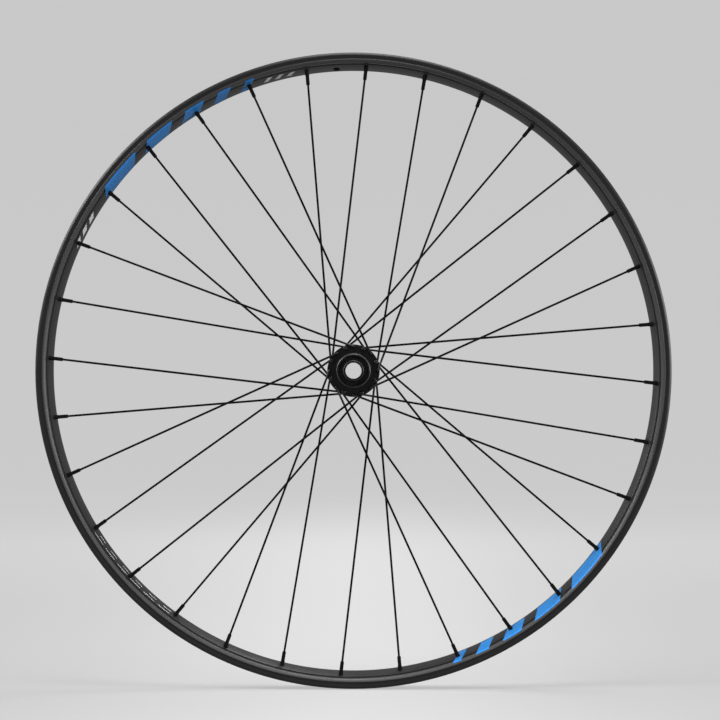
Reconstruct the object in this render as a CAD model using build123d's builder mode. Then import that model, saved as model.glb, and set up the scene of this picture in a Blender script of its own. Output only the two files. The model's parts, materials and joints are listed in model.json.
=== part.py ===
from build123d import *
import math
import os

# Front bicycle wheel for a 15 mm through axle and a disc brake, without its tyre.
# The origin is the middle of the axle, +X is forward, +Y is the left (disc) side, +Z is up.
# Each section below is one piece or one group of like pieces. Sizes are in millimetres.

# Rim: an offset, hollow aluminium section for a 584 mm bead seat
bead_seat_radius = 292.0
flange_height = 6.0
flange_thickness = 2.8
lip_height = 3.2
lip_inset = 0.5
trough_height = 4.8
trough_inset = 1.1
rim_width = 28.0
shelf_width = 3.6
channel_drop = 0.8
channel_ramp = 1.2
tyre_bed_wall = 1.3
side_wall = 1.8
spoke_bed_wall = 1.8
right_wall_depth = 11.0
knee_height = 3.2
knee_width = 3.8
knee_side_drop = 2.2
knee_side_width = 1.0
groove_depth = 0.7
groove_width = 0.8
rim_depth = 15.5
low_edge_offset = 4.0
low_edge_width = 3.0
low_edge_rise = 0.4
left_wall_depth = 8.5
valve_hole_radius = 3.25
valve_place = 8.5

# Lacing: three-cross, with the spoke holes of the rim set over to the right side
spoke_count = 32
crosses = 3
first_nipple_angle = -2.4
nipple_row_offset = -2.5
nipple_row_stagger = 1.5

# Spokes: round steel wire with a bent head end
spoke_radius = 1.0
spoke_sides = 6
spoke_head_radius = 2.1
spoke_head_height = 1.3
elbow_leg = 1.1
inside_elbow_clearance = 0.4
outside_elbow_clearance = 0.9
crossing_clearance = 0.1

# Nipples: square wrench flats, a collar through the rim and a wide head inside it
nipple_visible_length = 12.4
nipple_flat_length = 9.0
nipple_flats = 3.4
nipple_collar_radius = 2.05
nipple_head_radius = 3.0
nipple_head_height = 1.6
nipple_thread_depth = 8.0
nipple_thread_clearance = 0.1
nipple_hole_clearance = 0.25
nipple_seat_clearance = 0.05
access_hole_radius = 3.8
access_hole_lead = 0.7
nipple_sides = 6

# Hub shell: two flanges, a tapered barrel, and a splined disc mount at the left end
flange_radius = 24.4
hub_flange_thickness = 3.4
right_flange_distance = 33.0
left_flange_distance = 22.0
spoke_circle_radius = 22.0
spoke_hole_clearance = 0.25
flange_edge_chamfer = 0.8
barrel_radius = 13.4
barrel_taper = 6.0
flange_root_radius = 16.0
right_collar_radius = 15.8
shell_right_end = 41.5
shell_left_end = 40.0
disc_seat_radius = 18.6
disc_seat_distance = 31.5
spline_root_radius = 16.6
spline_height = 0.8
spline_count = 40
spline_tooth_width = 1.5
lockring_thread_radius = 15.0
lockring_thread_length = 5.0

# Axle, bearings and end pieces
axle_bore_radius = 7.55
over_locknut_length = 100.0
bearing_bore_radius = 8.5
bearing_outer_radius = 13.0
bearing_width = 5.0
race_wall = 1.1
race_shoulder = 0.9
seal_depth = 3.0
seal_gap = 0.3
right_seal_radius = 14.3
end_cap_radius = 9.5
cap_socket_length = 6.0
cap_chamfer = 0.5
ball_count = 13
ball_clearance = 0.05
ball_corner_share = 0.29
press_clearance = 0.02
ring_sides = 32

rim_radius = bead_seat_radius + flange_height
half_width = rim_width / 2
spoke_pitch = 360 / spoke_count
hub_turn = crosses * 2 * spoke_pitch
half_flange = hub_flange_thickness / 2
axle_end = over_locknut_length / 2
right_bearing_face = shell_right_end - seal_depth - seal_gap
left_bearing_face = shell_left_end - lockring_thread_length - seal_depth - seal_gap

os.makedirs("parts", exist_ok=True)


def wheel_point(radius, angle, y):
    """A point of the wheel at a radius, an angle from forward towards up, and a place along the axle."""
    turn = math.radians(angle)
    return Vector(radius * math.cos(turn), y, radius * math.sin(turn))


def write_piece(piece, name):
    """Label a finished piece and write it as its own file."""
    piece.label = name
    export_step(piece, f"parts/{name}.step")


# The spoke bed is a cone that runs from the groove down to the low edge
bed_start_y = -half_width + knee_width + groove_width
bed_start_radius = rim_radius - right_wall_depth + groove_depth
low_edge_radius = rim_radius - rim_depth
bed_slope = (bed_start_radius - low_edge_radius) / (low_edge_offset - bed_start_y)
bed_normal_share = math.hypot(1, bed_slope)
channel_radius = bead_seat_radius - channel_drop
cavity_top = channel_radius - tyre_bed_wall


def bed_radius(y):
    """The radius of the rim's inner face at a place along the axle."""
    return bed_start_radius - bed_slope * (y - bed_start_y)


class LacedSpoke:
    """The places that one spoke, its nipple and its two holes share."""

    def __init__(self, index):
        """Work out one spoke's places from its number round the rim."""
        right_flange = index % 2 == 0
        leads = index % 4 < 2
        self.bends_outside = index % 4 in (1, 2)
        side = -1 if right_flange else 1
        lead = 1 if leads else -1
        angle = first_nipple_angle + index * spoke_pitch
        flange_y = -right_flange_distance if right_flange else left_flange_distance
        run_outside = flange_y + side * (half_flange + spoke_radius + outside_elbow_clearance)
        run_inside = flange_y - side * (half_flange + spoke_radius + inside_elbow_clearance)
        row_y = nipple_row_offset + side * nipple_row_stagger
        row_radius = bed_radius(row_y)
        self.shank_side = side if self.bends_outside else -side
        run_y = run_outside if self.bends_outside else run_inside
        hole_angle = angle + lead * hub_turn
        self.hub_hole = wheel_point(spoke_circle_radius, hole_angle, flange_y)
        self.seat = wheel_point(row_radius, angle, row_y)
        self.corner = wheel_point(spoke_circle_radius, hole_angle, run_y)
        cross_angle = angle + lead * spoke_pitch
        share = self.share_at(cross_angle)
        straight_outside = run_outside + share * (row_y - run_outside)
        straight_inside = run_inside + share * (row_y - run_inside)
        middle_y = (straight_outside + straight_inside) / 2
        weave = spoke_radius + crossing_clearance / 2
        weave_side = -side if self.bends_outside else side
        crossing = self.corner + (self.seat - self.corner) * share
        self.crossing = Vector(crossing.X, middle_y + weave_side * weave, crossing.Z)
        self.axis = (self.seat - self.crossing).normalized()
        self.tip = self.seat - self.axis * nipple_visible_length
        bed_normal = wheel_point(1, angle, bed_slope).normalized()
        lean = math.acos(self.axis.dot(bed_normal))
        wall_along_axis = spoke_bed_wall / math.cos(lean)
        lift = nipple_head_radius * math.tan(lean) + nipple_seat_clearance
        self.head_start = nipple_visible_length + wall_along_axis + lift
        self.access_start = self.seat + self.axis * (cavity_top - access_hole_lead - row_radius)

    def share_at(self, angle):
        """How far along the straight run from hub to rim the spoke passes an angle, from 0 to 1."""
        ray = wheel_point(1, angle, 0)
        run = self.seat - self.corner
        across_start = self.corner.X * ray.Z - self.corner.Z * ray.X
        across_run = run.X * ray.Z - run.Z * ray.X
        return -across_start / across_run


laced_spokes = [LacedSpoke(index) for index in range(spoke_count)]

# Rim outline, from the right lip round the inner face to the left lip and back through the tyre bed
inner_half_width = half_width - flange_thickness
lip_radius = rim_radius - lip_height
lip_y = half_width - lip_inset
trough_radius = rim_radius - trough_height
trough_y = half_width - trough_inset
shelf_edge = inner_half_width - shelf_width
channel_edge = shelf_edge - channel_ramp
knee_bottom = rim_radius - right_wall_depth
low_edge_far_y = low_edge_offset + low_edge_width
left_wall_start = rim_radius - left_wall_depth
bed_inner_rise = spoke_bed_wall * bed_normal_share
cavity_side = half_width - side_wall
cavity_low_y = low_edge_offset + low_edge_width / 2
cavity_groove_y = bed_start_y + groove_width
# The valve hole lies halfway between two nipples, counted in spoke spacings from the first
valve_axis = wheel_point(1, first_nipple_angle + valve_place * spoke_pitch, 0)

with BuildPart() as rim:
    with BuildSketch(Plane.XY):
        with BuildLine():
            Polyline(
                (rim_radius, -lip_y),
                (lip_radius, -lip_y),
                (trough_radius, -trough_y),
                (knee_bottom + knee_height, -half_width),
                (knee_bottom + knee_height - knee_side_drop, -half_width + knee_side_width),
                (knee_bottom, -half_width + knee_width),
                (bed_start_radius, bed_start_y),
                (low_edge_radius, low_edge_offset),
                (low_edge_radius + low_edge_rise, low_edge_far_y),
                (left_wall_start, half_width),
                (trough_radius, trough_y),
                (lip_radius, lip_y),
                (rim_radius, lip_y),
                (rim_radius, inner_half_width),
                (bead_seat_radius, inner_half_width),
                (bead_seat_radius, shelf_edge),
                (channel_radius, channel_edge),
                (channel_radius, -channel_edge),
                (bead_seat_radius, -shelf_edge),
                (bead_seat_radius, -inner_half_width),
                (rim_radius, -inner_half_width),
                close=True,
            )
        make_face()
        with BuildLine():
            Polyline(
                (cavity_top, -cavity_side),
                (knee_bottom + side_wall, -cavity_side),
                (bed_radius(cavity_groove_y) + bed_inner_rise, cavity_groove_y),
                (bed_radius(cavity_low_y) + bed_inner_rise, cavity_low_y),
                (cavity_top, cavity_side),
                close=True,
            )
        make_face(mode=Mode.SUBTRACT)
    revolve(axis=Axis.Y)
    for spoke in laced_spokes:
        with BuildSketch(Plane(spoke.tip, z_dir=spoke.axis)):
            RegularPolygon(nipple_collar_radius + nipple_hole_clearance, nipple_sides, major_radius=False)
    extrude(amount=nipple_visible_length + flange_height, mode=Mode.SUBTRACT)
    for spoke in laced_spokes:
        with BuildSketch(Plane(spoke.access_start, z_dir=spoke.axis)):
            RegularPolygon(access_hole_radius, nipple_sides)
    extrude(amount=flange_height, mode=Mode.SUBTRACT)
    with BuildSketch(Plane(valve_axis * low_edge_radius, z_dir=valve_axis)):
        Circle(valve_hole_radius)
    extrude(amount=rim_depth, mode=Mode.SUBTRACT)
write_piece(rim.part, "rim")

# Spokes: head, shank through the flange, bend, and a run that weaves once with its neighbour
for number, spoke in enumerate(laced_spokes, start=1):
    along_shank = Vector(0, spoke.shank_side, 0)
    head_face = spoke.hub_hole - along_shank * half_flange
    run = (spoke.crossing - spoke.corner).normalized()
    with BuildPart() as spoke_wire:
        with BuildLine() as wire_path:
            Polyline(
                head_face,
                spoke.corner - along_shank * elbow_leg,
                spoke.corner + run * elbow_leg,
                spoke.crossing,
                spoke.tip + spoke.axis * nipple_thread_depth,
            )
        with BuildSketch(Plane(head_face, z_dir=along_shank)):
            RegularPolygon(spoke_radius, spoke_sides)
        sweep(path=wire_path.line, transition=Transition.RIGHT)
        with BuildSketch(Plane(head_face, z_dir=-along_shank)):
            RegularPolygon(spoke_head_radius, spoke_sides)
        extrude(amount=spoke_head_height)
    write_piece(spoke_wire.part, f"spoke_{number:02d}")


def nipple(spoke):
    """One nipple, with a blind hole in its tip for the spoke's thread."""
    tip_plane = Plane(spoke.tip, x_dir=spoke.axis.cross(Vector(0, 1, 0)), z_dir=spoke.axis)
    with BuildPart() as turned_nipple:
        with BuildSketch(tip_plane):
            Rectangle(nipple_flats, nipple_flats)
        extrude(amount=nipple_flat_length)
        with BuildSketch(tip_plane.offset(nipple_flat_length)):
            RegularPolygon(nipple_collar_radius, nipple_sides)
        extrude(amount=spoke.head_start - nipple_flat_length)
        with BuildSketch(tip_plane.offset(spoke.head_start)):
            RegularPolygon(nipple_head_radius, nipple_sides)
        extrude(amount=nipple_head_height)
        with BuildSketch(tip_plane):
            RegularPolygon(spoke_radius + nipple_thread_clearance, spoke_sides, major_radius=False)
        extrude(amount=nipple_thread_depth, mode=Mode.SUBTRACT)
    return turned_nipple.part.solid()


# Nipples, one solid at the rim end of each spoke
spoke_nipples = Compound([nipple(spoke) for spoke in laced_spokes])
write_piece(spoke_nipples, "spoke_nipples")

# Hub shell: one turned piece, drilled for the spokes and splined for the disc
right_flange_outside = -right_flange_distance - half_flange
right_flange_inside = -right_flange_distance + half_flange
left_flange_outside = left_flange_distance + half_flange
left_flange_inside = left_flange_distance - half_flange
right_shoulder = -right_bearing_face + bearing_width
left_shoulder = left_bearing_face - bearing_width
shell_bore_radius = bearing_outer_radius - race_shoulder
lockring_start = shell_left_end - lockring_thread_length

with BuildPart() as hub_shell:
    with BuildSketch(Plane.XY):
        with BuildLine():
            Polyline(
                (right_collar_radius, -shell_right_end),
                (right_collar_radius, right_flange_outside),
                (flange_radius - flange_edge_chamfer, right_flange_outside),
                (flange_radius, right_flange_outside + flange_edge_chamfer),
                (flange_radius, right_flange_inside),
                (flange_root_radius, right_flange_inside),
                (barrel_radius, right_flange_inside + barrel_taper),
                (barrel_radius, left_flange_inside - barrel_taper),
                (flange_root_radius, left_flange_inside),
                (flange_radius, left_flange_inside),
                (flange_radius, left_flange_outside - flange_edge_chamfer),
                (flange_radius - flange_edge_chamfer, left_flange_outside),
                (disc_seat_radius, left_flange_outside),
                (disc_seat_radius, disc_seat_distance),
                (spline_root_radius, disc_seat_distance),
                (spline_root_radius, shell_left_end),
                (lockring_thread_radius, shell_left_end),
                (lockring_thread_radius, lockring_start),
                (bearing_outer_radius, lockring_start),
                (bearing_outer_radius, left_shoulder),
                (shell_bore_radius, left_shoulder),
                (shell_bore_radius, right_shoulder),
                (bearing_outer_radius, right_shoulder),
                (bearing_outer_radius, -right_bearing_face),
                (right_seal_radius, -right_bearing_face),
                (right_seal_radius, -shell_right_end),
                close=True,
            )
        make_face()
    revolve(axis=Axis.Y)
    for spoke in laced_spokes:
        with BuildSketch(Plane(spoke.hub_hole, z_dir=(0, 1, 0))):
            RegularPolygon(spoke_radius + spoke_hole_clearance, spoke_sides)
    extrude(amount=hub_flange_thickness, both=True, mode=Mode.SUBTRACT)
    with BuildSketch(Plane.XZ.offset(-disc_seat_distance)):
        with PolarLocations(spline_root_radius, spline_count):
            Rectangle(2 * spline_height, spline_tooth_width)
    extrude(amount=disc_seat_distance - shell_left_end)
write_piece(hub_shell.part, "hub_shell")

# Axle tube, with a shoulder between the bearings
axle_right_end = axle_end - cap_socket_length
with BuildPart() as axle_tube:
    with BuildSketch(Plane.XY):
        with BuildLine():
            Polyline(
                (axle_bore_radius, -axle_right_end),
                (bearing_bore_radius, -axle_right_end),
                (bearing_bore_radius, right_shoulder),
                (bearing_bore_radius + race_shoulder, right_shoulder),
                (bearing_bore_radius + race_shoulder, left_shoulder),
                (bearing_bore_radius, left_shoulder),
                (bearing_bore_radius, axle_right_end),
                (axle_bore_radius, axle_right_end),
                close=True,
            )
        make_face()
    revolve(axis=Axis.Y)
write_piece(axle_tube.part, "axle_tube")


def end_cap(bearing_face, side):
    """A turned sleeve that slips over the axle tube and holds the bearing's inner race."""
    with BuildPart() as cap:
        with BuildSketch(Plane.XY):
            with BuildLine():
                Polyline(
                    (axle_bore_radius, side * axle_end),
                    (end_cap_radius - cap_chamfer, side * axle_end),
                    (end_cap_radius, side * (axle_end - cap_chamfer)),
                    (end_cap_radius, side * bearing_face),
                    (bearing_bore_radius + press_clearance, side * bearing_face),
                    (bearing_bore_radius + press_clearance, side * axle_right_end),
                    (axle_bore_radius, side * axle_right_end),
                    close=True,
                )
            make_face()
        revolve(axis=Axis.Y)
    return cap.part


def ring(inner_radius, outer_radius, start, end):
    """A ring round the axle between two places along it, many-sided to keep its facets few."""
    with BuildPart() as turned_ring:
        with BuildSketch(Plane.XZ.offset(-start)):
            RegularPolygon(outer_radius - press_clearance, ring_sides)
            RegularPolygon(inner_radius, ring_sides, major_radius=False, mode=Mode.SUBTRACT)
        extrude(amount=start - end)
    return turned_ring.part


def ball_row(middle):
    """The balls of one bearing, as small many-sided solids evenly round the race."""
    track_radius = (bearing_bore_radius + bearing_outer_radius) / 2
    ball_size = bearing_outer_radius - bearing_bore_radius - 2 * race_wall - 2 * ball_clearance
    with BuildPart() as balls:
        with BuildSketch(Plane.XZ.offset(-middle)):
            with PolarLocations(track_radius, ball_count):
                Rectangle(ball_size, ball_size)
        extrude(amount=ball_size / 2, both=True)
        chamfer(balls.edges(), ball_size * ball_corner_share)
    return balls.part


# Right and left bearings, end caps and dust seals
for name, side, face, seal_radius in (
    ("right", -1, right_bearing_face, right_seal_radius),
    ("left", 1, left_bearing_face, bearing_outer_radius),
):
    write_piece(end_cap(face, side), f"{name}_end_cap")
    back = side * (face - bearing_width)
    front = side * face
    start, end = sorted((back, front))
    inner_race = ring(bearing_bore_radius, bearing_bore_radius + race_wall, start, end)
    write_piece(inner_race, f"{name}_bearing_inner_race")
    outer_race = ring(bearing_outer_radius - race_wall, bearing_outer_radius, start, end)
    write_piece(outer_race, f"{name}_bearing_outer_race")
    write_piece(ball_row((start + end) / 2), f"{name}_bearing_balls")
    seal_start, seal_end = sorted((side * (face + seal_gap), side * (face + seal_gap + seal_depth)))
    seal = ring(end_cap_radius + seal_gap, seal_radius, seal_start, seal_end)
    write_piece(seal, f"{name}_dust_seal")
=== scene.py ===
"""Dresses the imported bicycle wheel: turned, laced and anodised pieces around the CAD frame.

X points forward, Z points up, and the axle lies along Y, with the wheel's right side at -Y.
The wheel's sizes are in millimetres, the studio's are in metres, and angles are in degrees.
"""

import json
import math

import bmesh
import bpy
from mathutils import Matrix, Vector

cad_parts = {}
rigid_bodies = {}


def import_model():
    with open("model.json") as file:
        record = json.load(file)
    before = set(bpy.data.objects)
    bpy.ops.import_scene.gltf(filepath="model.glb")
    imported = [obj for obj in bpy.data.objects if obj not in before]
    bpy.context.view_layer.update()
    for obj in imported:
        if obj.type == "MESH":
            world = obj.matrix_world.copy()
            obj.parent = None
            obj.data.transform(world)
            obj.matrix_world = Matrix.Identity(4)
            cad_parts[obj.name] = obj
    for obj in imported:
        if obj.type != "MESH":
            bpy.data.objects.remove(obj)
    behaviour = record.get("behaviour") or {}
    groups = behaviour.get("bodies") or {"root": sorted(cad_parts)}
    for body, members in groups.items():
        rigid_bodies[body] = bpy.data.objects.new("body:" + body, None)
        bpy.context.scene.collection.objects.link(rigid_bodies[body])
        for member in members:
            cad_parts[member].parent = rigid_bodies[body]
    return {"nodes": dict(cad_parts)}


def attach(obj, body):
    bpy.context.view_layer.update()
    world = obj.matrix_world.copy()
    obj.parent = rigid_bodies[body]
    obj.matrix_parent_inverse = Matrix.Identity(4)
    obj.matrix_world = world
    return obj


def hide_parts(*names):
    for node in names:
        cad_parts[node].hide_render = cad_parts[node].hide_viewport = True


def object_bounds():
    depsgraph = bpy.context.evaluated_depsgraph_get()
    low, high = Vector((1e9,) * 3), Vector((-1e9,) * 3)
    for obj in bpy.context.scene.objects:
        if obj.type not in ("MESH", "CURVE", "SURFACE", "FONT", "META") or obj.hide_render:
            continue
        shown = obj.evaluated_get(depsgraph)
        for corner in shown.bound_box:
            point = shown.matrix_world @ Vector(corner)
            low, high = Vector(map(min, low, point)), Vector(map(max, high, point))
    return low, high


for leftover in list(bpy.data.objects):
    bpy.data.objects.remove(leftover)
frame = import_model()
cad_low, cad_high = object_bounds()


# Axle tube: the hollow shaft that the wheel spins on, turned from aluminium bar and left bare.
# A shoulder between the bearings keeps their inner races apart, and a fork's 15 mm through axle
# slides in its bore.
MM = 0.001
FULL_TURN = 2 * math.pi
axle_bore = 7.55
race_bore = 8.5
axle_shoulder = 9.4
axle_half_length = 44.0
axle_edge = 0.3
right_shoulder_y = -33.2
left_shoulder_y = 26.7
turned_steps = 96
corner_degrees = 38


class Flow:
    """A socket in a node tree, on which masks and mixes are written as plain sums."""

    def __init__(self, tree, socket=None):
        self.tree = tree
        self.socket = socket

    def node(self, kind, settings, inputs, output=0):
        """Add any node: its settings are set first, then its inputs; one output comes back."""
        added = self.tree.nodes.new(kind)
        for setting, value in settings.items():
            setattr(added, setting, value)
        for place, value in inputs.items():
            if isinstance(value, Flow):
                self.tree.links.new(value.socket, added.inputs[place])
            else:
                added.inputs[place].default_value = value
        return Flow(self.tree, added.outputs[output])

    def math(self, operation, first, second=0.0):
        return self.node("ShaderNodeMath", {"operation": operation}, {0: first, 1: second})

    def __add__(self, other):
        return self.math("ADD", self, other)

    def __sub__(self, other):
        return self.math("SUBTRACT", self, other)

    def __rsub__(self, other):
        return self.math("SUBTRACT", other, self)

    def __mul__(self, other):
        return self.math("MULTIPLY", self, other)

    def __gt__(self, other):
        return self.math("GREATER_THAN", self, other)

    __radd__ = __add__
    __rmul__ = __mul__

    def feed(self, shader, inlet):
        self.tree.links.new(self.socket, shader.inputs[inlet])


def new_finish(name, colour, roughness, metallic=0.0):
    """A material with one shader set to plain values, and the flow that its nodes start from."""
    finish = bpy.data.materials.new(name)
    finish.use_nodes = True
    shader = finish.node_tree.nodes["Principled BSDF"]
    shader.inputs["Base Color"].default_value = colour
    shader.inputs["Roughness"].default_value = roughness
    shader.inputs["Metallic"].default_value = metallic
    return finish, shader, Flow(finish.node_tree)


def round_the_axle(flow):
    """Distance from the axle, angle round it and place along it, from Object coordinates."""
    place = flow.node("ShaderNodeTexCoord", {}, {}, "Object")
    x, y, z = (flow.node("ShaderNodeSeparateXYZ", {}, {0: place}, axis) for axis in "XYZ")
    radius = flow.math("SQRT", x * x + z * z)
    angle = flow.math("ARCTAN2", z, x)
    return radius, angle, y


def tint(flow, share, dark, light):
    """A colour between two, by a share from 0 to 1."""
    return flow.node(
        "ShaderNodeMix", {"data_type": "RGBA"}, {"Factor": share, 6: dark, 7: light}, 2
    )


def lathe_marks(flow, lines_per_metre):
    """Fine rings that a cutting tool leaves round a turned piece, from 0 to 1."""
    wander = 0.6
    radius, angle, along = round_the_axle(flow)
    spot = flow.node(
        "ShaderNodeCombineXYZ",
        {},
        {0: radius * lines_per_metre, 1: along * lines_per_metre, 2: angle * wander},
    )
    return flow.node("ShaderNodeTexNoise", {}, {"Vector": spot, "Scale": 1.0, "Detail": 3.0}, 0)


def add_bump(flow, shader, height, strength, depth):
    """Let a height from 0 to 1 show in the shading, as relief of a depth."""
    relief = {"Height": height, "Strength": strength, "Distance": depth * MM}
    flow.node("ShaderNodeBump", {}, relief).feed(shader, "Normal")


def turned_finish(name, dark, light, roughness, lines_per_metre, mark_depth):
    """Bare metal with the rings of the lathe in its colour, gloss and surface."""
    finish, shader, flow = new_finish(name, light, roughness, metallic=1.0)
    marks = lathe_marks(flow, lines_per_metre)
    tint(flow, marks, dark, light).feed(shader, "Base Color")
    (roughness + 0.14 * (marks - 0.5)).feed(shader, "Roughness")
    add_bump(flow, shader, marks, strength=0.25, depth=mark_depth)
    return finish


def finished_mesh(name, shape, sharp_degrees=corner_degrees):
    """Turn a bmesh into a smooth-shaded mesh whose clear edges stay sharp."""
    mesh = bpy.data.meshes.new(name)
    shape.to_mesh(mesh)
    shape.free()
    mesh.shade_smooth()
    mesh.set_sharp_from_angle(angle=math.radians(sharp_degrees))
    return mesh


def turned_mesh(name, outline, steps=turned_steps):
    """Spin a closed outline of (radius, place along the axle, corner rounding) round the axle."""
    shape = bmesh.new()
    corners = [shape.verts.new((radius * MM, along * MM, 0)) for radius, along, _ in outline]
    for corner, following in zip(corners, corners[1:] + corners[:1]):
        shape.edges.new((corner, following))
    for corner, (_, _, rounding) in zip(corners, outline):
        if rounding:
            bmesh.ops.bevel(
                shape,
                geom=[corner],
                offset=rounding * MM,
                affect="VERTICES",
                segments=3,
                profile=0.5,
                material=-1,
            )
    bmesh.ops.spin(
        shape,
        geom=shape.verts[:] + shape.edges[:],
        cent=(0, 0, 0),
        axis=(0, 1, 0),
        angle=FULL_TURN,
        steps=steps,
        use_merge=True,
    )
    bmesh.ops.recalc_face_normals(shape, faces=shape.faces[:])
    return finished_mesh(name, shape)


def fit_piece(name, mesh, finish, body, solid=None):
    """Put a mesh into the scene on its body, in place of the plain solid it stands for."""
    piece = bpy.data.objects.new(name, mesh)
    bpy.context.scene.collection.objects.link(piece)
    mesh.materials.clear()
    mesh.materials.append(finish)
    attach(piece, body)
    if solid:
        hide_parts(solid)


bare_alloy = turned_finish(
    "bare_turned_alloy",
    dark=(0.42, 0.42, 0.43, 1),
    light=(0.62, 0.62, 0.63, 1),
    roughness=0.34,
    lines_per_metre=2600,
    mark_depth=0.04,
)
axle_outline = [
    (axle_bore, -axle_half_length, axle_edge),
    (race_bore, -axle_half_length, axle_edge),
    (race_bore, right_shoulder_y, 0),
    (axle_shoulder, right_shoulder_y, axle_edge),
    (axle_shoulder, left_shoulder_y, axle_edge),
    (race_bore, left_shoulder_y, 0),
    (race_bore, axle_half_length, axle_edge),
    (axle_bore, axle_half_length, axle_edge),
]
axle_mesh = turned_mesh("axle_shaft", axle_outline)
fit_piece("axle_shaft", axle_mesh, bare_alloy, "axle", "axle_tube")


# Bearings: two cartridge bearings of hardened steel, ground bright. The inner races sit on the
# axle, the outer ones in the hub, and the balls roll between them behind the dust seals.
bearing_steel = turned_finish(
    "ground_bearing_steel",
    dark=(0.5, 0.51, 0.53, 1),
    light=(0.68, 0.69, 0.71, 1),
    roughness=0.2,
    lines_per_metre=4000,
    mark_depth=0.02,
)
for side in ("right", "left"):
    for part in ("inner_race", "outer_race", "balls"):
        solid = frame["nodes"][f"{side}_bearing_{part}"]
        solid.data.materials.clear()
        solid.data.materials.append(bearing_steel)


# Hub shell: one piece of forged and turned aluminium, bead-blasted and dyed black. Two flanges
# carry the spokes, and the left end is splined for a brake disc and threaded for its lockring.
spoke_count = 32
spoke_pitch = 360 / spoke_count
first_nipple_angle = -2.4
crosses = 3
flange_radius = 24.4
half_flange = 1.7
right_flange_y = -33.0
left_flange_y = 22.0
flange_foot = 17.2
barrel_radius = 13.4
barrel_taper = 6.0
spoke_circle = 22.0
spoke_hole = 1.25
spoke_hole_sides = 14
collar_radius = 15.8
collar_bevel_width = 0.8
collar_bevel_length = 0.6
shell_right_end = -41.5
right_seal_seat = 14.3
right_race_face = -38.2
left_race_face = 31.7
race_seat = 13.0
shell_bore = 12.1
disc_shoulder = 18.6
spline_root = 16.6
spline_tip = 17.4
spline_count = 40
spline_start = 31.5
shell_left_end = 40.0
lockring_radius = 15.0
lockring_depth_y = 35.0
thread_depth = 0.35
thread_pitch = 1.0
thread_turns = 4
thread_lead_in = 0.7
half_crest = 0.15
hub_steps = 4 * spline_count
dye_dark = (0.0006, 0.0006, 0.0007, 1)
dye_light = (0.004, 0.004, 0.0042, 1)
lockring_thread = []
for thread in range(thread_turns):
    crest_y = shell_left_end - thread_lead_in - thread * thread_pitch
    lockring_thread.append((lockring_radius, crest_y + half_crest, 0))
    lockring_thread.append((lockring_radius, crest_y - half_crest, 0))
    lockring_thread.append((lockring_radius + thread_depth, crest_y - thread_pitch / 2, 0))
# From the right end over both flanges to the left end, and back through the bore.
hub_outline = [
    (collar_radius - collar_bevel_width, shell_right_end, 0.12),
    (collar_radius, shell_right_end + collar_bevel_length, 0.12),
    (collar_radius, right_flange_y - half_flange, 1.4),
    (flange_radius, right_flange_y - half_flange, 1.0),
    (flange_radius, right_flange_y + half_flange, 0.9),
    (flange_foot, right_flange_y + half_flange, 1.6),
    (barrel_radius, right_flange_y + half_flange + barrel_taper, 3.0),
    (barrel_radius, left_flange_y - half_flange - barrel_taper, 3.0),
    (flange_foot, left_flange_y - half_flange, 1.6),
    (flange_radius, left_flange_y - half_flange, 0.9),
    (flange_radius, left_flange_y + half_flange, 1.0),
    (disc_shoulder, left_flange_y + half_flange, 1.2),
    (disc_shoulder, spline_start, 0.3),
    (spline_root, spline_start, 0.2),
    (spline_root, shell_left_end, 0.4),
    (lockring_radius, shell_left_end, 0.3),
    *lockring_thread,
    (lockring_radius, lockring_depth_y, 0),
    (race_seat, lockring_depth_y, 0.2),
    (race_seat, left_shoulder_y, 0),
    (shell_bore, left_shoulder_y, 0),
    (shell_bore, right_shoulder_y, 0),
    (race_seat, right_shoulder_y, 0),
    (race_seat, right_race_face, 0),
    (right_seal_seat, right_race_face, 0),
    (right_seal_seat, shell_right_end, 0.3),
]


def speckle(flow, per_metre, detail):
    """Even noise from 0 to 1 all over a piece, with so many cells to the metre."""
    place = flow.node("ShaderNodeTexCoord", {}, {}, "Object")
    cells = {"Vector": place, "Scale": per_metre, "Detail": detail}
    return flow.node("ShaderNodeTexNoise", {}, cells, 0)


def soft_step(flow, value, start, end, before=0.0, after=1.0):
    """A soft change from one number to another while a value goes from start to end."""
    return flow.node(
        "ShaderNodeMapRange",
        {"interpolation_type": "SMOOTHSTEP"},
        {0: value, 1: start, 2: end, 3: before, 4: after},
    )


def bare_and_highlight_ring(flow, shader, colour, inner_radius, outer_radius, past, shade=0.07, bareness=0.2):
    """Let metal show in a colour's place on a ring past a distance along the axle.

    With no bareness the ring is only a lighter tone: a painted highlight.
    """
    radius, _, along = round_the_axle(flow)
    soft_edge = 0.3
    half_width = (outer_radius - inner_radius) / 2 * MM
    off_middle = flow.math("ABSOLUTE", radius - (outer_radius + inner_radius) / 2 * MM)
    ring = soft_step(flow, off_middle, half_width, (1 - soft_edge) * half_width)
    ring = ring * (flow.math("ABSOLUTE", along) > past * MM)
    if bareness:
        (bareness * ring).feed(shader, "Metallic")
    return tint(flow, ring, colour, (shade, shade, shade, 1))


def anodised_finish(
    name, dark, light, roughness, gloss, grain_size, grain_depth, streaks, wear_and_highlight_ring=None
):
    """Blasted aluminium under a dyed oxide skin: a fine even grain, with faint streaks round it.

    A lighter ring, if there is one, is bare metal where the dye is cut or worn off,
    and a painted highlight where it has no bareness.
    """
    finish, shader, flow = new_finish(name, light, roughness)
    shader.inputs["Specular IOR Level"].default_value = gloss
    grain = speckle(flow, per_metre=1 / (grain_size * MM), detail=2.0)
    cloud = speckle(flow, per_metre=34.0, detail=3.0)
    marks = lathe_marks(flow, lines_per_metre=900)
    shade = cloud * (1 - streaks) + marks * streaks
    colour = tint(flow, shade, dark, light)
    if wear_and_highlight_ring:
        colour = bare_and_highlight_ring(flow, shader, colour, **wear_and_highlight_ring)
    colour.feed(shader, "Base Color")
    (roughness + 0.3 * (shade - 0.5) + 0.12 * (grain - 0.5)).feed(shader, "Roughness")
    add_bump(flow, shader, grain + streaks * marks, strength=0.6, depth=grain_depth)
    return finish


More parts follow.
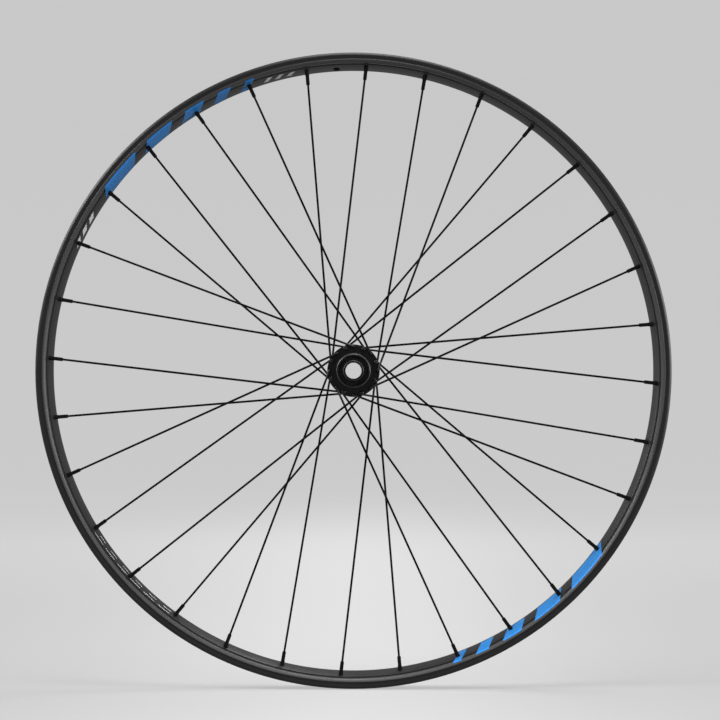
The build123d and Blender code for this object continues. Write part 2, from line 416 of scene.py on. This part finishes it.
def wheel_point(radius, angle, along):
    """A point at a radius, an angle from forward towards up, and a place along the axle."""
    turn = math.radians(angle)
    return Vector((radius * math.cos(turn), along, radius * math.sin(turn)))


def add_drill(drills, start, direction, radius, length, sides=20):
    """Add one round drill to a mesh of drills, from its start along its direction."""
    middle = (start + direction * (length / 2)) * MM
    turn = direction.to_track_quat("Z", "Y").to_matrix().to_4x4()
    bmesh.ops.create_cone(
        drills,
        cap_ends=True,
        segments=sides,
        radius1=radius * MM,
        radius2=radius * MM,
        depth=length * MM,
        matrix=Matrix.Translation(middle) @ turn,
    )


def drilled_mesh(mesh, drills):
    """Cut a mesh of drills out of a closed mesh, and leave the hole edges sharp."""
    drill_mesh = bpy.data.meshes.new("drills")
    drills.to_mesh(drill_mesh)
    drills.free()
    drill_piece = bpy.data.objects.new("drills", drill_mesh)
    blank = bpy.data.objects.new("blank", mesh)
    bpy.context.scene.collection.objects.link(drill_piece)
    bpy.context.scene.collection.objects.link(blank)
    drilling = blank.modifiers.new("drilling", "BOOLEAN")
    drilling.operation = "DIFFERENCE"
    drilling.solver = "EXACT"
    drilling.object = drill_piece
    cut_blank = blank.evaluated_get(bpy.context.evaluated_depsgraph_get())
    cut_mesh = bpy.data.meshes.new_from_object(cut_blank)
    bpy.data.objects.remove(blank)
    bpy.data.objects.remove(drill_piece)
    bpy.data.meshes.remove(drill_mesh)
    bpy.data.meshes.remove(mesh)
    cut_mesh.set_sharp_from_angle(angle=math.radians(corner_degrees))
    return cut_mesh


def splined(name, mesh):
    """Raise the disc mount's teeth from the turned spigot, every other pair of faces round it."""
    end_margin = 0.5
    root_margin = 0.1
    tooth_turn = 360 / spline_count
    shape = bmesh.new()
    shape.from_mesh(mesh)
    bpy.data.meshes.remove(mesh)
    teeth = []
    for face in shape.faces:
        middle = face.calc_center_median() / MM
        on_spigot = spline_start + end_margin < middle.y < shell_left_end - end_margin
        if on_spigot and abs(math.hypot(middle.x, middle.z) - spline_root) < root_margin:
            turn = math.degrees(math.atan2(middle.z, middle.x)) % tooth_turn
            if min(turn, tooth_turn - turn) < tooth_turn / 4:
                teeth.append(face)
    raised = bmesh.ops.extrude_face_region(shape, geom=teeth)["geom"]
    bmesh.ops.delete(shape, geom=teeth, context="FACES_ONLY")
    growth = spline_tip / spline_root
    tips = [part for part in raised if isinstance(part, bmesh.types.BMVert)]
    bmesh.ops.scale(shape, vec=(growth, 1, growth), verts=tips)
    bmesh.ops.recalc_face_normals(shape, faces=shape.faces[:])
    return finished_mesh(name, shape)


hub_black = anodised_finish(
    "hub_black_anodised",
    dark=dye_dark,
    light=dye_light,
    roughness=0.34,
    gloss=0.14,
    grain_size=0.3,
    grain_depth=0.03,
    streaks=0.3,
    wear_and_highlight_ring={"inner_radius": 15.05, "outer_radius": 16.0, "past": 40.5},
)
flange_drills = bmesh.new()
for hole in range(spoke_count // 2):
    hole_angle = first_nipple_angle + (2 * hole + crosses * 2) * spoke_pitch
    for flange_y, angle in (
        (right_flange_y, hole_angle),
        (left_flange_y, hole_angle + spoke_pitch),
    ):
        add_drill(
            flange_drills,
            start=wheel_point(spoke_circle, angle, flange_y - 2 * half_flange),
            direction=Vector((0, 1, 0)),
            radius=spoke_hole,
            length=4 * half_flange,
            sides=spoke_hole_sides,
        )
hub_blank = splined("hub_body", turned_mesh("hub_body", hub_outline, hub_steps))
hub_mesh = drilled_mesh(hub_blank, flange_drills)
fit_piece("hub_body", hub_mesh, hub_black, "wheel", "hub_shell")


# Dust seals: moulded rubber rings pressed into the ends of the hub. Each has a raised outer bead,
# a dished face and a thin lip that runs close to the end cap.
seal_inner = 9.8
seal_clearance = 0.02
race_gap = 0.3
bead_width = 0.7
bead_foot = 1.3
dish_depth = 1.9
lip_width = 0.45
lip_foot = 0.9
lip_drop = 0.6


def seal_outline(seat_radius, race_face, outer_y):
    """A seal's section, from the seat that holds it, the race behind it and its outer end."""
    out = 1 if outer_y > race_face else -1
    outside = seat_radius - seal_clearance
    inner_y = race_face + out * race_gap
    dish_y = outer_y - out * dish_depth
    lip_y = outer_y - out * lip_drop
    return [
        (outside, inner_y, 0.2),
        (outside, outer_y, 0.25),
        (outside - bead_width, outer_y, 0.2),
        (outside - bead_foot, dish_y, 0.3),
        (seal_inner + lip_foot, dish_y, 0.2),
        (seal_inner + lip_width, lip_y, 0.1),
        (seal_inner, lip_y, 0.12),
        (seal_inner, inner_y, 0.2),
    ]


def rubber_finish(name, dark, light, roughness):
    """Moulded rubber with a dry bloom in its colour, gloss and surface."""
    finish, shader, flow = new_finish(name, light, roughness)
    shader.inputs["Specular IOR Level"].default_value = 0.2
    bloom = speckle(flow, per_metre=420.0, detail=4.0)
    tint(flow, bloom, dark, light).feed(shader, "Base Color")
    (roughness + 0.25 * (bloom - 0.5)).feed(shader, "Roughness")
    add_bump(flow, shader, bloom, strength=0.3, depth=0.1)
    return finish


seal_rubber = rubber_finish(
    "moulded_seal_rubber",
    dark=(0.0012, 0.0012, 0.0012, 1),
    light=(0.004, 0.004, 0.004, 1),
    roughness=0.625,
)
right_seal_outline = seal_outline(right_seal_seat, right_race_face, shell_right_end)
right_seal_mesh = turned_mesh("right_seal_ring", right_seal_outline)
fit_piece(
    "right_seal_ring", right_seal_mesh, seal_rubber, "wheel", "right_dust_seal"
)
left_seal_outline = seal_outline(race_seat, left_race_face, lockring_depth_y)
left_seal_mesh = turned_mesh("left_seal_ring", left_seal_outline)
fit_piece("left_seal_ring", left_seal_mesh, seal_rubber, "wheel", "left_dust_seal")


# End caps: turned aluminium sleeves, dyed black, that slip over the axle's ends. Their inner
# ends hold the bearings' inner races, and a fork's dropouts clamp on their faces.
cap_radius = 9.5
cap_socket = 8.52
cap_end = 50.0
cap_bevel = 0.5
groove_start = 3.0
groove_depth = 0.4
groove_slope = 0.3
groove_floor = 1.0
cap_black = anodised_finish(
    "cap_black_anodised",
    dark=dye_dark,
    light=dye_light,
    roughness=0.34,
    gloss=0.12,
    grain_size=0.3,
    grain_depth=0.03,
    streaks=0.6,
    wear_and_highlight_ring={"inner_radius": 8.95, "outer_radius": 9.6, "past": 49.3, "shade": 0.05},
)


def cap_outline(race_face):
    """An end cap's section: a bevelled face, a grip groove and a socket for the axle."""
    out = 1 if race_face > 0 else -1
    groove_floor_start = groove_start + groove_slope
    groove_floor_end = groove_floor_start + groove_floor
    groove_end = groove_floor_end + groove_slope
    return [
        (axle_bore, out * cap_end, 0.35),
        (cap_radius - cap_bevel, out * cap_end, 0.08),
        (cap_radius, out * (cap_end - cap_bevel), 0.08),
        (cap_radius, out * (cap_end - groove_start), 0.1),
        (cap_radius - groove_depth, out * (cap_end - groove_floor_start), 0.1),
        (cap_radius - groove_depth, out * (cap_end - groove_floor_end), 0.1),
        (cap_radius, out * (cap_end - groove_end), 0.1),
        (cap_radius, race_face, 0.2),
        (cap_socket, race_face, 0.1),
        (cap_socket, out * axle_half_length, 0),
        (axle_bore, out * axle_half_length, 0),
    ]


right_cap_mesh = turned_mesh("right_cap", cap_outline(right_race_face))
fit_piece("right_cap", right_cap_mesh, cap_black, "axle", "right_end_cap")
left_cap_mesh = turned_mesh("left_cap", cap_outline(left_race_face))
fit_piece("left_cap", left_cap_mesh, cap_black, "axle", "left_end_cap")


# Spokes: drawn stainless wire, blackened, with an upset head and a bend at the hub end. They
# are laced three-cross: each passes two others and is bent round the third, near the hub.
nipple_row_y = -2.5
nipple_stagger = 1.5
spoke_radius = 1.0
elbow_leg = 1.3
inside_elbow_gap = 0.4
outside_elbow_gap = 0.9
crossing_gap = 0.1
crossing_bow = 14.0
bed_start_y = -9.4
bed_start_radius = 287.7
low_edge_y = 4.0
low_edge_radius = 282.5
bed_slope = (bed_start_radius - low_edge_radius) / (low_edge_y - bed_start_y)
nipple_length = 12.4
nipple_thread = 8.0
short_handle = 0.3
arc_handle = 0.55
head_steps = 16
weld_distance = 0.02
thin_corner_degrees = 50
gloss_end = 23.5
matt_start = 34.0
head_section = [
    (0.0, -1.3),
    (0.9, -1.24),
    (1.6, -0.95),
    (2.0, -0.5),
    (2.1, -0.15),
    (1.95, 0.0),
    (0.0, 0.0),
]


class LacedSpoke:
    """The places that one spoke and its nipple share, in millimetres."""

    def __init__(self, index):
        right_flange = index % 2 == 0
        lead = 1 if index % 4 < 2 else -1
        bends_outside = index % 4 in (1, 2)
        side = -1 if right_flange else 1
        angle = first_nipple_angle + index * spoke_pitch
        flange_y = right_flange_y if right_flange else left_flange_y
        outside_y = flange_y + side * (half_flange + spoke_radius + outside_elbow_gap)
        inside_y = flange_y - side * (half_flange + spoke_radius + inside_elbow_gap)
        corner_y = outside_y if bends_outside else inside_y
        row_y = nipple_row_y + side * nipple_stagger
        seat_radius = bed_start_radius - bed_slope * (row_y - bed_start_y)
        hole_angle = angle + lead * crosses * 2 * spoke_pitch
        self.shank_side = side if bends_outside else -side
        self.hub_hole = wheel_point(spoke_circle, hole_angle, flange_y)
        self.corner = wheel_point(spoke_circle, hole_angle, corner_y)
        self.seat = wheel_point(seat_radius, angle, row_y)
        # The third crossing lies on the ray midway between this nipple and the other spoke's.
        ray = wheel_point(1, angle + lead * spoke_pitch, 0)
        run = self.seat - self.corner
        share = -(self.corner.x * ray.z - self.corner.z * ray.x) / (run.x * ray.z - run.z * ray.x)
        middle_y = ((outside_y + inside_y) / 2) * (1 - share) + row_y * share
        weave = -side if bends_outside else side
        self.crossing = self.corner + run * share
        self.crossing.y = middle_y + weave * (spoke_radius + crossing_gap / 2)
        self.axis = (self.seat - self.crossing).normalized()
        self.tip = self.seat - self.axis * nipple_length


def wire_mesh(spoke):
    """A spoke's round wire: through the flange, round the bend and past the third crossing."""
    shank = Vector((0, spoke.shank_side, 0))
    run = (spoke.crossing - spoke.corner).normalized()
    thread_end = spoke.tip + spoke.axis * nipple_thread
    bend_start = spoke.corner - shank * elbow_leg
    bend_end = spoke.corner + run * elbow_leg
    bow = (thread_end - bend_end).normalized() * crossing_bow
    inner_run = (spoke.crossing - bend_end).length / 3
    outer_run = (thread_end - spoke.crossing).length / 3
    stations = [
        (spoke.hub_hole - shank * half_flange, shank, shank * short_handle),
        (bend_start, shank * short_handle, shank * (elbow_leg * arc_handle)),
        (bend_end, run * (elbow_leg * arc_handle), run * inner_run),
        (spoke.crossing, bow, bow),
        (thread_end, spoke.axis * outer_run, spoke.axis),
    ]
    curve = bpy.data.curves.new("wire", "CURVE")
    curve.dimensions = "3D"
    curve.bevel_depth = spoke_radius * MM
    curve.bevel_resolution = 4
    curve.resolution_u = 9
    curve.use_fill_caps = True
    spline = curve.splines.new("BEZIER")
    spline.bezier_points.add(len(stations) - 1)
    for knot, (place, back, ahead) in zip(spline.bezier_points, stations):
        knot.handle_left_type = knot.handle_right_type = "FREE"
        knot.co = place * MM
        knot.handle_left = (place - back) * MM
        knot.handle_right = (place + ahead) * MM
    holder = bpy.data.objects.new("wire", curve)
    mesh = bpy.data.meshes.new_from_object(holder)
    bpy.data.objects.remove(holder)
    bpy.data.curves.remove(curve)
    return mesh


def spoke_mesh(name, spoke):
    """The wire with its upset head, in one mesh."""
    shape = bmesh.new()
    seat = spoke.hub_hole - Vector((0, spoke.shank_side, 0)) * half_flange
    section = []
    for out, up in head_section:
        section.append(shape.verts.new((seat + Vector((out, spoke.shank_side * up, 0))) * MM))
    edges = [shape.edges.new(pair) for pair in zip(section, section[1:])]
    bmesh.ops.spin(
        shape,
        geom=section + edges,
        cent=seat * MM,
        axis=(0, 1, 0),
        angle=FULL_TURN,
        steps=head_steps,
        use_merge=True,
    )
    wire = wire_mesh(spoke)
    shape.from_mesh(wire)
    bpy.data.meshes.remove(wire)
    bmesh.ops.remove_doubles(shape, verts=shape.verts[:], dist=weld_distance * MM)
    bmesh.ops.recalc_face_normals(shape, faces=shape.faces[:])
    return finished_mesh(name, shape, thin_corner_degrees)


def wire_finish(name, dark, light, roughness):
    """Blackened wire, glossy at the heads in the hub and matt along its length."""
    finish, shader, flow = new_finish(name, light, roughness)
    shader.inputs["Specular IOR Level"].default_value = 0.05
    shader.inputs["Coat Roughness"].default_value = 0.2
    cloud = speckle(flow, per_metre=160.0, detail=4.0)
    tint(flow, cloud, dark, light).feed(shader, "Base Color")
    (roughness + 0.22 * (cloud - 0.5)).feed(shader, "Roughness")
    radius, _, _ = round_the_axle(flow)
    coat = soft_step(flow, radius, gloss_end * MM, matt_start * MM, before=0.5, after=0.0)
    coat.feed(shader, "Coat Weight")
    add_bump(flow, shader, cloud, strength=0.2, depth=0.05)
    return finish


spoke_black = wire_finish(
    "black_drawn_wire",
    dark=(0.0005, 0.0005, 0.0006, 1),
    light=(0.0025, 0.0025, 0.0027, 1),
    roughness=0.37,
)
laced_spokes = [LacedSpoke(index) for index in range(spoke_count)]
for number, spoke in enumerate(laced_spokes, start=1):
    wire_name = f"spoke_wire_{number:02d}"
    fit_piece(
        wire_name,
        spoke_mesh(wire_name, spoke),
        spoke_black,
        "wheel",
        f"spoke_{number:02d}",
    )


# Nipples: small turned nuts of black aluminium that hold the spokes in the rim. Four flats are
# milled on the end that the spoke screws into, and a round head bears on the rim's inner wall.
half_flats = 1.7
body_radius = 2.05
nipple_sides = 24
nipple_stations = [
    (0.0, 1.35, half_flats),
    (0.0, 1.9, 1.55),
    (0.35, 2.3, half_flats),
    (8.6, 2.3, half_flats),
    (9.2, body_radius, body_radius),
    (16.4, body_radius, body_radius),
    (16.6, 2.9, 2.9),
    (17.4, 3.0, 3.0),
    (18.0, 2.4, 2.4),
]


def shape_ring(ring, station):
    """Set a ring of a nipple to a station of (distance, turned radius, half width over flats)."""
    distance, radius, half_width = station
    limit = half_width * MM
    for vert in ring:
        turned = Vector((vert.co.x, vert.co.y, 0)).normalized() * radius * MM
        vert.co.x = max(-limit, min(limit, turned.x))
        vert.co.y = max(-limit, min(limit, turned.y))
        vert.co.z = distance * MM


def nipple_shape():
    """One nipple along +Z with its tip at the origin, grown ring by ring from the tip."""
    shape = bmesh.new()
    bmesh.ops.create_circle(shape, cap_ends=True, segments=nipple_sides, radius=MM)
    shape_ring(shape.verts, nipple_stations[0])
    edges = shape.edges[:]
    for station in nipple_stations[1:]:
        grown = bmesh.ops.extrude_edge_only(shape, edges=edges)["geom"]
        edges = [part for part in grown if isinstance(part, bmesh.types.BMEdge)]
        shape_ring({vert for edge in edges for vert in edge.verts}, station)
    bmesh.ops.contextual_create(shape, geom=edges)
    bmesh.ops.recalc_face_normals(shape, faces=shape.faces[:])
    return shape


one_nipple = finished_mesh("one_nipple", nipple_shape())
all_nipples = bmesh.new()
for spoke in laced_spokes:
    placed = len(all_nipples.verts)
    all_nipples.from_mesh(one_nipple)
    flat_side = spoke.axis.cross(Vector((0, 1, 0))).normalized()
    turn = Matrix((flat_side, spoke.axis.cross(flat_side), spoke.axis)).transposed().to_4x4()
    all_nipples.verts.ensure_lookup_table()
    bmesh.ops.transform(
        all_nipples,
        matrix=Matrix.Translation(spoke.tip * MM) @ turn,
        verts=all_nipples.verts[placed:],
    )
bpy.data.meshes.remove(one_nipple)
nipple_black = anodised_finish(
    "nipple_black_anodised",
    dark=dye_dark,
    light=dye_light,
    roughness=0.32,
    gloss=0.12,
    grain_size=0.4,
    grain_depth=0.02,
    streaks=0.1,
)
nipple_mesh = finished_mesh("turned_nipples", all_nipples)
fit_piece("turned_nipples", nipple_mesh, nipple_black, "wheel", "spoke_nipples")


# Rim: one hollow aluminium extrusion, rolled into a hoop, drilled and dyed satin black. Its
# inner face slopes to the left, so that the spokes of both flanges pull evenly.
rim_radius = 298.0
bead_seat = 292.0
bead_wall_y = 11.2
hump_y = 7.6
well_radius = 291.2
well_y = 6.4
channel_round = 0.4
shoulder_radius = 288.15
# From the right lip over its trough and edge, along the sloping spoke bed, up the left side, and
# back through the tyre channel.
rim_outline = [
    (rim_radius, -bead_wall_y, 0.35),
    (rim_radius, -12.3, 0.5),
    (295.7, -13.65, 0.8),
    (295.0, -13.65, 0.3),
    (293.6, -13.15, 0.8),
    (292.1, -13.1, 0.25),
    (291.75, -13.8, 0.2),
    (291.1, -14.0, 0.4),
    (288.4, -12.1, 0.5),
    (shoulder_radius, -10.6, 0.4),
    (shoulder_radius, -7.6, 0.1),
    (287.05, -7.55, 0.1),
    (low_edge_radius, low_edge_y, 0.8),
    (282.9, 7.0, 1.4),
    (289.5, 14.0, 1.2),
    (293.2, 12.85, 1.2),
    (295.6, 13.65, 0.9),
    (rim_radius, 13.0, 0.7),
    (rim_radius, bead_wall_y, 0.5),
    (bead_seat, bead_wall_y, channel_round),
    (bead_seat, hump_y, channel_round),
    (well_radius, well_y, channel_round),
    (well_radius, -well_y, channel_round),
    (bead_seat, -hump_y, channel_round),
    (bead_seat, -bead_wall_y, channel_round),
]
# The closed hollow between the spoke bed and the tyre channel.
cavity_top = 289.9
cavity_outline = [
    (cavity_top, -12.2, 0.4),
    (288.8, -12.2, 0.5),
    (289.32, -8.6, 0.5),
    (283.85, 5.5, 0.8),
    (cavity_top, 12.2, 0.4),
]
nipple_hole = 2.3
drill_reach = 6.0
access_hole = 3.8
access_lead = 0.7
valve_hole = 3.25
valve_angle = first_nipple_angle + (spoke_count / 4 + 0.5) * spoke_pitch
valve_drill_start = 278.0
valve_drill_reach = 18.0
large_drill_sides = 24
rim_steps = 384


def hollow_mesh(name, outline, cavity, steps):
    """A turned shell with a closed hollow inside it, whose walls face the hollow."""
    shape = bmesh.new()
    outside = turned_mesh("outside", outline, steps)
    inside = turned_mesh("inside", cavity, steps)
    inside.flip_normals()
    shape.from_mesh(outside)
    shape.from_mesh(inside)
    bpy.data.meshes.remove(outside)
    bpy.data.meshes.remove(inside)
    return finished_mesh(name, shape)


rim_drills = bmesh.new()
for spoke in laced_spokes:
    hole_start = spoke.seat - spoke.axis * (drill_reach / 2)
    add_drill(rim_drills, hole_start, spoke.axis, nipple_hole, drill_reach)
    to_well = cavity_top - access_lead - math.hypot(spoke.seat.x, spoke.seat.z)
    access_start = spoke.seat + spoke.axis * to_well
    add_drill(rim_drills, access_start, spoke.axis, access_hole, drill_reach, large_drill_sides)
add_drill(
    rim_drills,
    start=wheel_point(valve_drill_start, valve_angle, 0),
    direction=wheel_point(1, valve_angle, 0),
    radius=valve_hole,
    length=valve_drill_reach,
    sides=large_drill_sides,
)
rim_black = anodised_finish(
    "rim_black_anodised",
    dark=(0.002, 0.002, 0.0021, 1),
    light=(0.016, 0.016, 0.0162, 1),
    roughness=0.36,
    gloss=0.28,
    grain_size=0.4,
    grain_depth=0.04,
    streaks=0.55,
    # The ring along the rim's edges has no bareness: its lighter tone is a painted highlight on
    # the ridge, not worn dye.
    wear_and_highlight_ring={
        "inner_radius": 288.2,
        "outer_radius": 291.8,
        "past": 10.5,
        "shade": 0.05,
        "bareness": 0.0,
    },
)
rim_blank = hollow_mesh("rim_hoop", rim_outline, cavity_outline, rim_steps)
rim_mesh = drilled_mesh(rim_blank, rim_drills)
fit_piece("rim_hoop", rim_mesh, rim_black, "wheel", "rim")


# Rim graphics: thin printed vinyl, stuck along the rim's right edge and down its inner face.
# Plain slanted bars in blue, and small pale ticks and dashes further round the rim.
film_thickness = 0.06
film_root = 0.1
film_step = 0.9
bar_section = [(288.2, -10.2), (287.0, -7.45), (283.0, 2.7)]
edge_section = [(289.4, -12.8), (288.65, -12.28), (288.3, -11.6), (288.17, -10.6)]
tick_section = [(286.3, -5.65), (284.0, 0.1)]
high_dash_section = [(286.3, -5.65), (286.1, -5.15)]
low_dash_section = [(284.4, -0.9), (284.2, -0.4)]
first_bar_angle = -71.0
bar_lengths = (1.6, 2.6, 4.0, 6.0, 8.6)
bar_gap = 3.0
bar_slant = 1.6
edge_slant = 0.2
tick_count = 3
tick_slant = 1.0
left_ticks = {"first_angle": 148.5, "pitch": 2.6, "length": 1.5}
top_ticks = {"first_angle": 101.0, "pitch": 2.2, "length": 0.9}
dash_count = 6
dash_slant = 0.1
high_dashes = {"first_angle": -148.0, "pitch": 3.6, "length": 2.7}
low_dashes = {"first_angle": -147.0, "pitch": 3.6, "length": 1.8}


def film_section(section, depth):
    """A line on the rim's surface moved outwards by a depth, as (radius, along) places."""
    moved = []
    for place, (radius, along) in enumerate(section):
        before = section[max(0, place - 1)]
        after = section[min(len(section) - 1, place + 1)]
        run = Vector((after[0] - before[0], after[1] - before[1])).normalized()
        moved.append((radius - run.y * depth, along + run.x * depth))
    return moved


def add_strip(strips, section, start, length, slant):
    """Lay one strip of film on the rim from an angle onwards, with both ends slanted."""
    outline = film_section(section, film_thickness) + film_section(section, -film_root)[::-1]
    low, high = section[0][1], section[-1][1]
    corners = []
    for radius, along in outline:
        lean = slant * (along - low) / (high - low)
        corners.append(strips.verts.new(wheel_point(radius, start + lean, along) * MM))
    end_face = strips.faces.new(corners)
    bmesh.ops.spin(
        strips,
        geom=[end_face],
        cent=(0, 0, 0),
        axis=(0, -1, 0),
        angle=math.radians(length),
        steps=max(1, math.ceil(length / film_step)),
    )


def add_mark(strips, section, number, slant, first_angle, pitch, length):
    """Lay one of a row of equal strips, by its number in the row."""
    add_strip(strips, section, first_angle + pitch * number, length, slant)


def film_finish(name, dark, light, roughness):
    """Printed vinyl film: an even colour with a fine mottle and a few scuffs along the rim."""
    finish, shader, flow = new_finish(name, light, roughness)
    shader.inputs["Specular IOR Level"].default_value = 0.18
    mottle = speckle(flow, per_metre=900.0, detail=3.0)
    scuffs = lathe_marks(flow, lines_per_metre=1500)
    tint(flow, 0.6 * mottle + 0.4 * scuffs, dark, light).feed(shader, "Base Color")
    (roughness + 0.2 * (scuffs - 0.5)).feed(shader, "Roughness")
    add_bump(flow, shader, mottle, strength=0.2, depth=0.03)
    return finish


def fit_film(name, strips, finish):
    """Put the strips of one colour on the wheel as one piece."""
    bmesh.ops.recalc_face_normals(strips, faces=strips.faces[:])
    fit_piece(name, finished_mesh(name, strips, thin_corner_degrees), finish, "wheel")


blue_film = film_finish("blue_vinyl", (0.012, 0.12, 0.34, 1), (0.025, 0.19, 0.49, 1), 0.4)
# The edge film is the blue print in a lighter copy of its colour: a painted highlight where it
# wraps over the rim's edge.
blue_film_painted_highlight = film_finish("blue_vinyl_painted_highlight", (0.01, 0.19, 0.6, 1), (0.02, 0.26, 0.78, 1), 0.35)
pale_film = film_finish("pale_vinyl", (0.5, 0.5, 0.5, 1), (0.68, 0.68, 0.68, 1), 0.45)
blue_strips, edge_strips_painted_highlight, pale_strips = bmesh.new(), bmesh.new(), bmesh.new()
for half_turn in (0, 180):
    bar_start = half_turn + first_bar_angle
    for length in bar_lengths:
        add_strip(blue_strips, bar_section, bar_start, length, bar_slant)
        # The edge strips carry the blue print, with a painted highlight in their lighter colour.
        add_strip(edge_strips_painted_highlight, edge_section, bar_start - edge_slant, length, edge_slant)
        bar_start += length + bar_gap
for tick in range(tick_count):
    add_mark(pale_strips, tick_section, tick, tick_slant, **left_ticks)
    add_mark(pale_strips, tick_section, tick, tick_slant, **top_ticks)
for dash in range(dash_count):
    add_mark(pale_strips, high_dash_section, dash, dash_slant, **high_dashes)
    add_mark(pale_strips, low_dash_section, dash, dash_slant, **low_dashes)
fit_film("rim_blue_bars", blue_strips, blue_film)
fit_film("rim_edge_bars", edge_strips_painted_highlight, blue_film_painted_highlight)
fit_film("rim_pale_ticks", pale_strips, pale_film)


# Studio: a sweep of pale paper for floor and backdrop, three soft lamps in front of the wheel and
# two behind it, each with a grid, and a camera that looks along the axle.
floor_gap = 0.0005
floor_level = cad_low.z - floor_gap
sweep_half_width = 14.0
sweep_front = -14.0
sweep_bend_start = 3.4
sweep_back = 4.4
sweep_height = 6.0
sweep_bend = 0.95
black = (0, 0, 0, 1)
white = (1, 1, 1, 1)
paper_grey = (0.12, 0.12, 0.12, 1)
near_tone = 0.235
far_lift = 0.305
far_reach = 2.2
glow_lift = 0.24
glow_reach = 4.0
glow_half_width = 0.28
air_light = (0.45, 0.45, 0.45, 1)
air_seen = (0.585, 0.585, 0.585, 1)
lamp_spread = 80


def seen_rays(flow):
    """1 for what the camera sees, also in a mirror or a glass, and 0 for light on the object."""
    seen = 0
    for ray in ("Is Camera Ray", "Is Glossy Ray", "Is Transmission Ray"):
        seen = flow.math("MAXIMUM", flow.node("ShaderNodeLightPath", {}, {}, ray), seen)
    return seen


def sweep_mesh(name):
    """A level floor that bends up into a backdrop, drawn from one side to the other."""
    shape = bmesh.new()
    line = [
        (sweep_front, floor_level),
        (sweep_bend_start, floor_level),
        (sweep_back, floor_level),
        (sweep_back, floor_level + sweep_height),
    ]
    verts = [shape.verts.new((-sweep_half_width, along, height)) for along, height in line]
    for pair in zip(verts, verts[1:]):
        shape.edges.new(pair)
    bmesh.ops.bevel(
        shape,
        geom=[verts[2]],
        offset=sweep_bend,
        affect="VERTICES",
        segments=16,
        profile=0.5,
        material=-1,
    )
    grown = bmesh.ops.extrude_edge_only(shape, edges=shape.edges[:])["geom"]
    far_side = [part for part in grown if isinstance(part, bmesh.types.BMVert)]
    bmesh.ops.translate(shape, vec=(2 * sweep_half_width, 0, 0), verts=far_side)
    bmesh.ops.recalc_face_normals(shape, faces=shape.faces[:])
    return finished_mesh(name, shape)


def paper_finish(name):
    """Matt paper that shows a pale tone, with a glow on the floor near the wheel."""
    finish, shader, flow = new_finish(name, paper_grey, 0.9)
    shader.inputs["Emission Strength"].default_value = 1.0
    place = flow.node("ShaderNodeTexCoord", {}, {}, "Object")
    x, y = (flow.node("ShaderNodeSeparateXYZ", {}, {0: place}, axis) for axis in "XY")
    distance = flow.math("SQRT", x * x + y * y)
    far = soft_step(flow, distance, 0.0, far_reach)
    fade = soft_step(flow, distance, 0.0, glow_reach)
    glow = flow.math("DIVIDE", 1.0 - fade, 1.0 + x * x * (1 / glow_half_width**2))
    tone = near_tone + far_lift * far + glow_lift * glow
    tint(flow, seen_rays(flow) * tone, black, white).feed(shader, "Emission Color")
    return finish


def soft_lamp(name, place, size, power):
    """A square area lamp with a grid that narrows its light, pointed at the hub."""
    light = bpy.data.lights.new(name, "AREA")
    light.size = size
    light.energy = power
    light.spread = math.radians(lamp_spread)
    lamp = bpy.data.objects.new(name, light)
    lamp.location = place
    lamp.rotation_euler = (-Vector(place)).to_track_quat("-Z", "Y").to_euler()
    bpy.context.scene.collection.objects.link(lamp)


sweep = bpy.data.objects.new("paper_sweep", sweep_mesh("paper_sweep"))
sweep.data.materials.append(paper_finish("sweep_paper"))
bpy.context.scene.collection.objects.link(sweep)
world = bpy.data.worlds.new("studio_air")
world.use_nodes = True
air = Flow(world.node_tree)
sky = world.node_tree.nodes["Background"]
tint(air, seen_rays(air), air_light, air_seen).feed(sky, "Color")
bpy.context.scene.world = world
soft_lamp("right_lamp", (2.6, -0.6, 0.4), size=1.3, power=12.5)
soft_lamp("top_lamp", (0.1, -0.75, 2.7), size=1.2, power=10)
soft_lamp("left_lamp", (-2.1, -0.7, 1.5), size=1.1, power=10.5)
soft_lamp("back_top_lamp", (0.8, 0.6, 2.5), size=1.2, power=10)
soft_lamp("back_left_lamp", (-2.5, 0.45, 0.7), size=1.2, power=7)

camera_distance = 2.3
frame_pixels = 720
pixel_size = 0.9412 * MM
centre_x_pixel = 353.5
centre_y_pixel = 370.7
lens = bpy.data.cameras.new("photo_camera")
lens.sensor_width = 36
lens.lens = lens.sensor_width * camera_distance / (frame_pixels * pixel_size)
lens.shift_x = (frame_pixels / 2 - centre_x_pixel) / frame_pixels
lens.shift_y = (centre_y_pixel - frame_pixels / 2) / frame_pixels
camera = bpy.data.objects.new("photo_camera", lens)
camera.location = (0, -camera_distance, 0)
camera.rotation_euler = (math.radians(90), 0, 0)
bpy.context.scene.collection.objects.link(camera)
bpy.context.scene.camera = camera
bpy.context.scene.view_settings.view_transform = "Standard"
